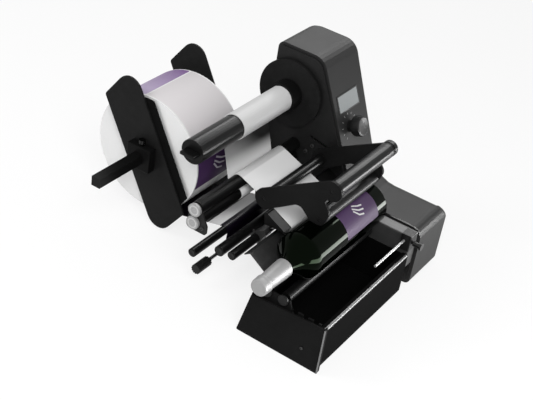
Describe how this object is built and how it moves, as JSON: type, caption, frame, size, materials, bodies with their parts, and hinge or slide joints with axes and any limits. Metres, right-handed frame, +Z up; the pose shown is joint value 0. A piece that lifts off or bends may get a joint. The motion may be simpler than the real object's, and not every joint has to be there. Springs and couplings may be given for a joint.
{
  "type": "bench-top bottle labelling machine",
  "caption": "Bench-top semi-automatic labeller with a roller cradle that turns a bottle, peel bar, nip rollers, liner rewinder and label roll on a bar.",
  "frame": {"origin": "bottom centre of the whole machine, at the bench top", "axes": "+X along the rollers towards the housing, +Y from the bottle tray towards the label roll, +Z up"},
  "size_m": [0.4104, 0.5214, 0.312],
  "materials": {
    "cover_black": "satin black powder coat",
    "plate_black": "matt black coat",
    "arm_black": "matt black coat",
    "roller_black": "satin black anodised look",
    "rubber_black": "matt black rubber",
    "bare_aluminium": "turned aluminium",
    "steel": "ground steel",
    "display_grey": "light grey display window",
    "paper_white": "white paper",
    "board_green": "green circuit board",
    "glass_dark": "dark green glass, full",
    "capsule_silver": "silver foil"
  },
  "bodies": {
    "machine": {"housing_cover": "cover_black", "side_plate": "plate_black", "display": "display_grey", "power_inlet": "plate_black", "switch_frame": "plate_black", "drive_motor": "steel", "rewind_motor": "steel", "cradle_motor": "steel", "control_board": "board_green", "foot_1": "rubber_black", "foot_2": "rubber_black", "foot_3": "rubber_black", "foot_4": "rubber_black", "nip_link_plate": "plate_black", "sensor_rod": "roller_black", "brake_rod": "steel", "label_web": "paper_white", "peel_bar": "plate_black", "apron": "plate_black", "supply_bar": "roller_black", "supply_arm": "cover_black", "pivot_shaft": "steel", "tray_end_plate": "plate_black", "tray": "plate_black", "roller_bracket": "plate_black", "cradle_head": "cover_black", "stop_block": "roller_black"},
    "encoder_knob": {"encoder_knob": "roller_black"},
    "power_switch": {"power_switch": "roller_black"},
    "nip_upper": {"nip_roller_upper": "rubber_black", "nip_cap_upper": "bare_aluminium"},
    "nip_lower": {"nip_roller_lower": "rubber_black", "nip_cap_lower": "bare_aluminium"},
    "idle_low": {"idle_roller_low": "roller_black"},
    "idle_high": {"idle_roller_high": "roller_black"},
    "brake_knob": {"brake_knob": "roller_black"},
    "label_sensor": {"label_sensor": "plate_black"},
    "rewinder": {"rewind_mandrel": "roller_black", "rewind_flange": "plate_black", "liner_wind": "paper_white"},
    "rewind_key": {"rewind_key": "plate_black"},
    "guide_near": {"guide_plate_near": "arm_black", "guide_clamp_near": "roller_black"},
    "clamp_screw_near": {"clamp_screw_near": "bare_aluminium"},
    "guide_far": {"guide_plate_far": "arm_black", "guide_clamp_far": "roller_black"},
    "clamp_screw_far": {"clamp_screw_far": "bare_aluminium"},
    "supply_roll": {"label_roll": "paper_white", "core_hub": "plate_black"},
    "arms": {"arm_near": "arm_black", "arm_far": "arm_black", "pivot_sleeve": "roller_black", "handle_bar": "plate_black"},
    "press_roller": {"press_roller": "rubber_black"},
    "cradle_front": {"cradle_roller_front": "rubber_black"},
    "cradle_rear": {"cradle_roller_rear": "rubber_black"},
    "bottle": {"bottle": "glass_dark", "bottle_capsule": "capsule_silver"},
    "stop_rod": {"stop_rod": "steel"},
    "stop_screw": {"stop_screw": "bare_aluminium"}
  },
  "joints": [
    {"name": "supply_roll_spin", "type": "hinge", "parent": "machine", "child": "supply_roll", "pos_m": [-0.04775, 0.16375, 0.125], "axis": [1, 0, 0], "continuous": true},
    {"name": "nip_lower_spin", "type": "hinge", "parent": "machine", "child": "nip_lower", "pos_m": [-0.14545, -0.00525, 0.13171], "axis": [1, 0, 0], "continuous": true},
    {"name": "nip_upper_spin", "type": "hinge", "parent": "machine", "child": "nip_upper", "pos_m": [-0.14545, -0.00605, 0.1538], "axis": [1, 0, 0], "continuous": true},
    {"name": "idle_low_spin", "type": "hinge", "parent": "machine", "child": "idle_low", "pos_m": [-0.12475, 0.00675, 0.056], "axis": [1, 0, 0], "continuous": true},
    {"name": "idle_high_spin", "type": "hinge", "parent": "machine", "child": "idle_high", "pos_m": [-0.12475, -0.03945, 0.0838], "axis": [1, 0, 0], "continuous": true},
    {"name": "rewinder_spin", "type": "hinge", "parent": "machine", "child": "rewinder", "pos_m": [-0.14375, 0.01475, 0.238], "axis": [1, 0, 0], "continuous": true},
    {"name": "rewind_key_slide", "type": "slide", "parent": "rewinder", "child": "rewind_key", "axis": [-1, 0, 0], "range_m": [0, 0.1]},
    {"name": "bottle_spin", "type": "hinge", "parent": "machine", "child": "bottle", "pos_m": [-0.20405, -0.15765, 0.1289], "axis": [1, 0, 0], "continuous": true},
    {"name": "cradle_rear_spin", "type": "hinge", "parent": "machine", "child": "cradle_rear", "pos_m": [-0.14675, -0.14385, 0.08533], "axis": [1, 0, 0], "continuous": true},
    {"name": "cradle_front_spin", "type": "hinge", "parent": "machine", "child": "cradle_front", "pos_m": [-0.14675, -0.17145, 0.08533], "axis": [1, 0, 0], "continuous": true},
    {"name": "arms_lift", "type": "hinge", "parent": "machine", "child": "arms", "pos_m": [-0.06545, -0.06875, 0.165], "axis": [-1, 0, 0], "range_deg": [0, 60]},
    {"name": "press_roller_spin", "type": "hinge", "parent": "arms", "child": "press_roller", "pos_m": [-0.06545, -0.16075, 0.1758], "axis": [1, 0, 0], "continuous": true},
    {"name": "encoder_knob_spin", "type": "hinge", "parent": "machine", "child": "encoder_knob", "pos_m": [0.14395, -0.07781, 0.2033], "axis": [0, -0.9143, 0.4051], "continuous": true},
    {"name": "power_switch_rock", "type": "hinge", "parent": "machine", "child": "power_switch", "pos_m": [0.16505, 0.05275, 0.045], "axis": [1, 0, 0], "range_deg": [-8, 8]},
    {"name": "brake_knob_turn", "type": "hinge", "parent": "machine", "child": "brake_knob", "pos_m": [-0.12475, -0.00325, 0.03], "axis": [1, 0, 0], "continuous": true},
    {"name": "label_sensor_slide", "type": "slide", "parent": "machine", "child": "label_sensor", "axis": [-1, 0, 0], "range_m": [-0.002, 0.06]},
    {"name": "guide_near_slide", "type": "slide", "parent": "machine", "child": "guide_near", "axis": [-1, 0, 0], "range_m": [-0.002, 0.085]},
    {"name": "guide_far_slide", "type": "slide", "parent": "machine", "child": "guide_far", "axis": [-1, 0, 0], "range_m": [-0.004, 0.019]},
    {"name": "clamp_screw_near_turn", "type": "hinge", "parent": "guide_near", "child": "clamp_screw_near", "pos_m": [-0.06205, 0.16375, 0.1333], "axis": [0, 0, 1], "range_deg": [0, 720]},
    {"name": "clamp_screw_far_turn", "type": "hinge", "parent": "guide_far", "child": "clamp_screw_far", "pos_m": [0.09945, 0.16375, 0.1333], "axis": [0, 0, 1], "range_deg": [0, 720]},
    {"name": "stop_rod_slide", "type": "slide", "parent": "machine", "child": "stop_rod", "axis": [-1, 0, 0], "range_m": [-0.03, 0.055]},
    {"name": "stop_screw_turn", "type": "hinge", "parent": "machine", "child": "stop_screw", "pos_m": [0.09125, -0.24425, 0.0935], "axis": [0, -1, 0], "range_deg": [0, 720]}
  ],
  "couplings": [
    {"joint": "nip_lower_spin", "follows": "supply_roll_spin", "ratio": -9.2381},
    {"joint": "nip_upper_spin", "follows": "supply_roll_spin", "ratio": 9.2381},
    {"joint": "idle_low_spin", "follows": "supply_roll_spin", "ratio": -13.857},
    {"joint": "idle_high_spin", "follows": "supply_roll_spin", "ratio": 11.687},
    {"joint": "cradle_rear_spin", "follows": "bottle_spin", "ratio": -4.3412},
    {"joint": "cradle_front_spin", "follows": "bottle_spin", "ratio": -4.3412},
    {"joint": "press_roller_spin", "follows": "bottle_spin", "ratio": -3.7653}
  ]
}
